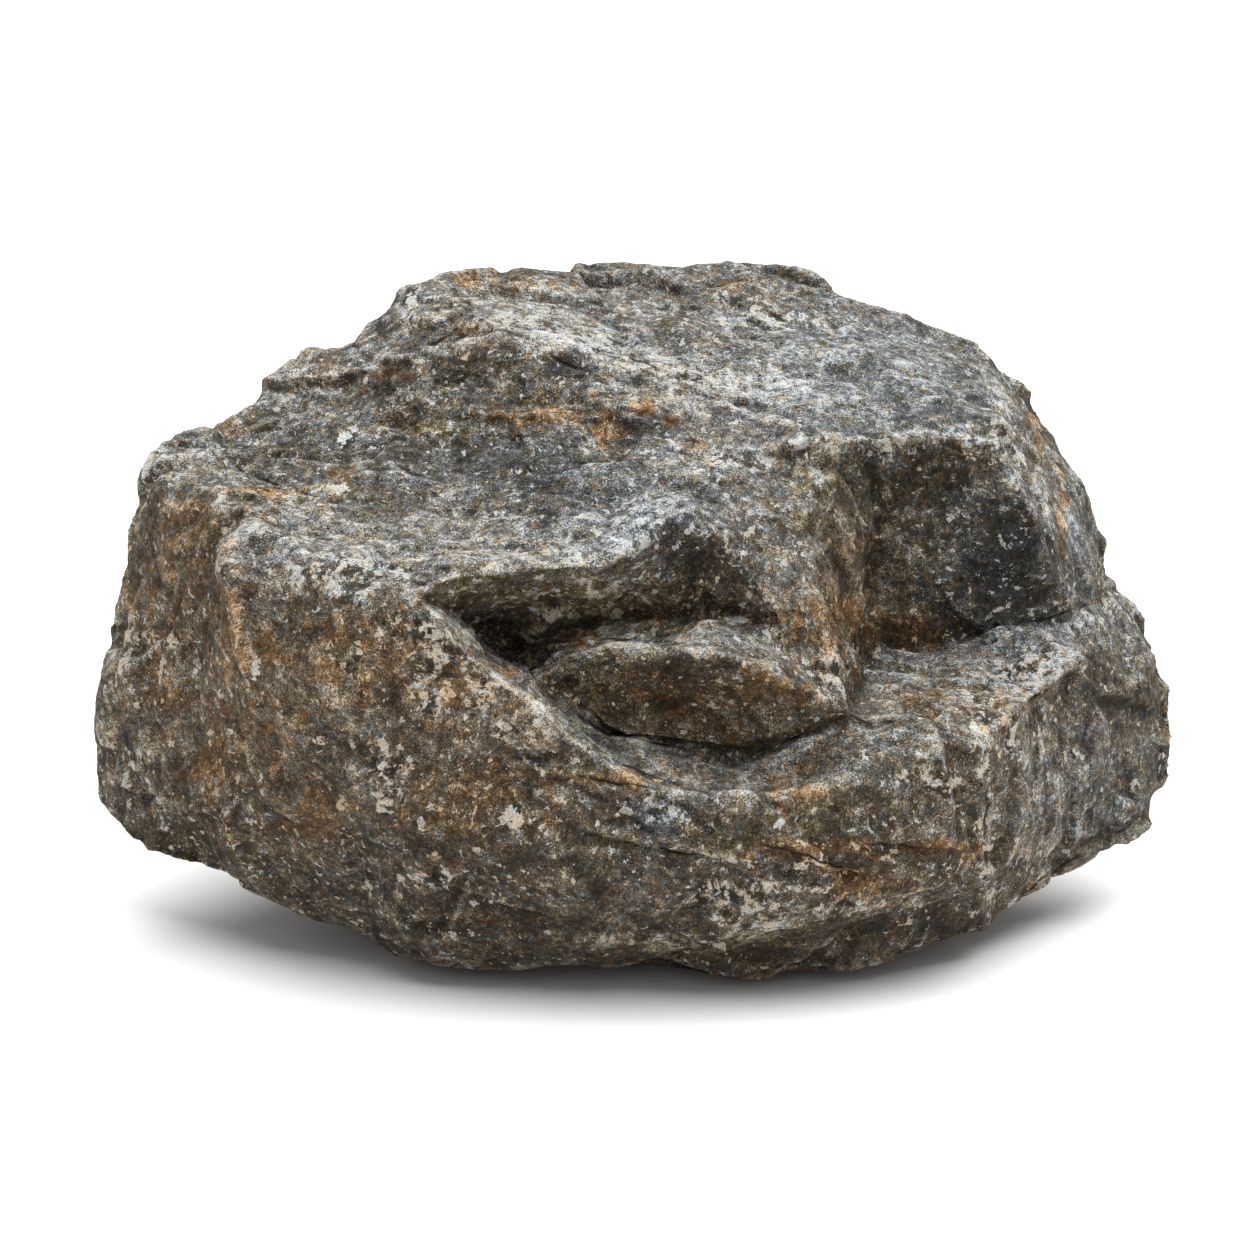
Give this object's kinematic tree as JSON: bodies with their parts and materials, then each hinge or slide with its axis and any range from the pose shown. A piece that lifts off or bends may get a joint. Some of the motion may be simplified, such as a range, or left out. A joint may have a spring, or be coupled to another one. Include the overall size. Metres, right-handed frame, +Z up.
{
  "type": "rough natural stone",
  "caption": "Rough, unsliced stone with broken ledges, a shallow bowl and a deep notch, resting on a worn flat.",
  "frame": {"origin": "on the ground, below the middle of the stone's width, on the worn face it rests on", "axes": "+Z up, +X along the stone's length to the right as seen from its front, -Y towards the front"},
  "size_m": [0.2217, 0.1474, 0.1276],
  "materials": {
    "stone": "rough, weathered"
  },
  "bodies": {
    "root": {"stone": "stone"}
  },
  "joints": []
}
